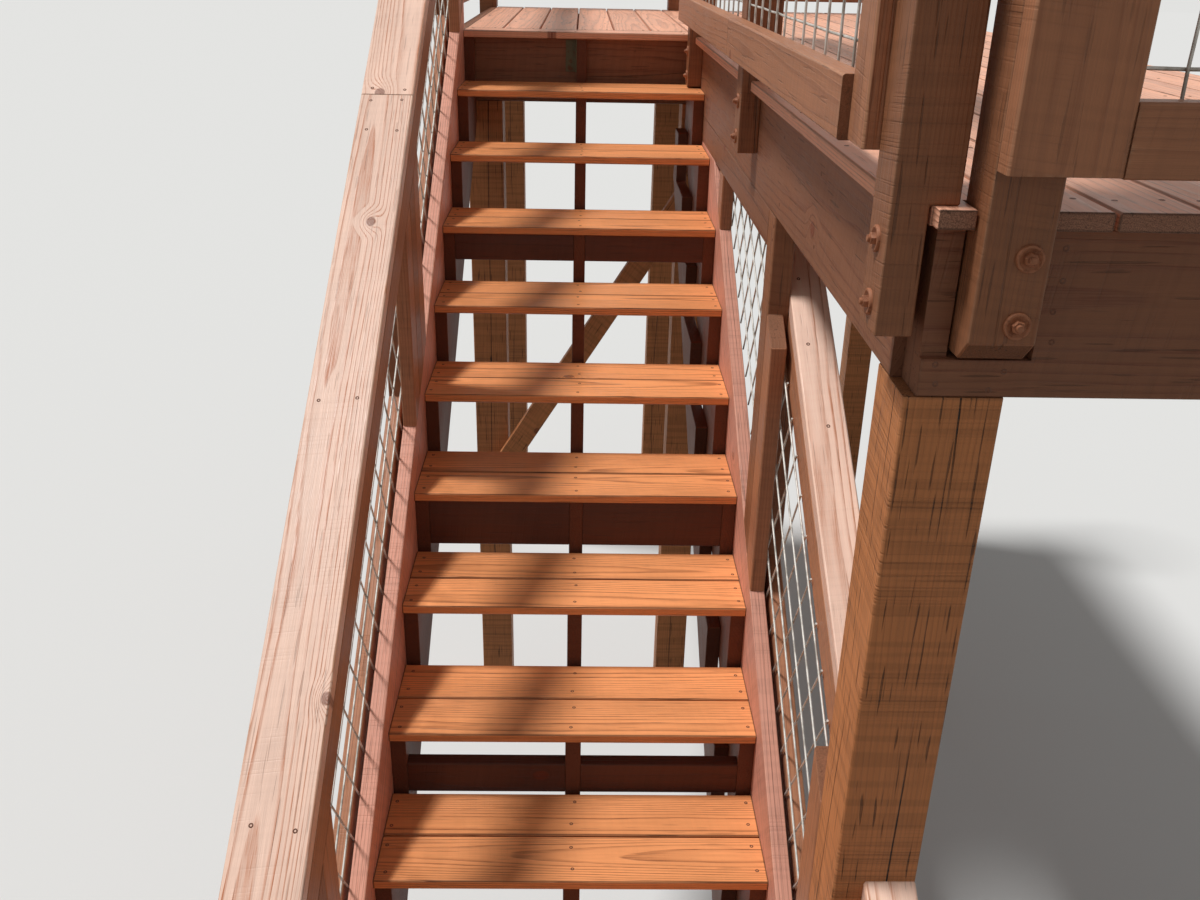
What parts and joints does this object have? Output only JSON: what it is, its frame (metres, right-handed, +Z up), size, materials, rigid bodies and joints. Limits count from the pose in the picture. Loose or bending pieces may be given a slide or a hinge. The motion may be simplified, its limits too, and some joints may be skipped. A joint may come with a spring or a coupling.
{
  "type": "wooden deck stairs",
  "caption": "Straight wooden stair with open risers, notched stringers and wire mesh railings that climbs beside a raised deck to its landing.",
  "frame": {"origin": "on the ground, under the middle of the whole in plan", "axes": "+Y runs up the flight towards the landing, +X from the flight to the deck beside it, +Z up"},
  "size_m": [2.302, 6.529, 4.042],
  "materials": {
    "deck_boards": "satin reddish stain",
    "framing": "satin reddish stain",
    "galvanised_wire": "galvanised",
    "rail_caps": "satin reddish stain, worn paler",
    "rail_posts": "satin reddish stain",
    "rails": "satin reddish stain",
    "skirts": "satin reddish stain",
    "steel_angle": "matt paint",
    "stringers": "satin reddish stain",
    "tread_boards": "satin reddish stain",
    "under_posts": "sawn and stained"
  },
  "bodies": {
    "root": {"back_rim": "framing", "cap_left": "rail_caps", "cap_right": "rail_caps", "corner_post": "under_posts", "deck_boards": "deck_boards", "deck_border": "deck_boards", "deck_inner_rim": "framing", "deck_joists": "framing", "deck_outer_rim": "framing", "deck_right_rim": "framing", "deck_side_rim": "framing", "guard_caps": "rail_caps", "guard_mesh_front": "galvanised_wire", "guard_mesh_side": "galvanised_wire", "guard_posts": "rail_posts", "guard_rails": "rails", "guard_trims": "rails", "landing_boards": "deck_boards", "landing_brace": "under_posts", "landing_front_rim": "framing", "landing_joists": "framing", "landing_left_rim": "framing", "landing_nosing": "deck_boards", "low_rail_left": "rails", "low_rail_right": "rails", "mesh_left": "galvanised_wire", "mesh_right": "galvanised_wire", "rail_posts_left": "rail_posts", "rail_posts_right": "rail_posts", "side_ledge": "framing", "skirt_left": "skirts", "skirt_right": "skirts", "stiles_left": "rails", "stiles_right": "rails", "stringer_angle": "steel_angle", "stringer_blocks": "stringers", "stringer_left": "stringers", "stringer_middle": "stringers", "stringer_right": "stringers", "stringer_sister": "stringers", "top_rail_left": "rails", "top_rail_right": "rails", "tread_01": "tread_boards", "tread_02": "tread_boards", "tread_03": "tread_boards", "tread_04": "tread_boards", "tread_05": "tread_boards", "tread_06": "tread_boards", "tread_07": "tread_boards", "tread_08": "tread_boards", "tread_09": "tread_boards", "tread_10": "tread_boards", "tread_11": "tread_boards", "tread_12": "tread_boards", "tread_13": "tread_boards", "tread_14": "tread_boards", "tread_15": "tread_boards", "tread_16": "tread_boards", "under_posts": "under_posts"}
  },
  "joints": []
}
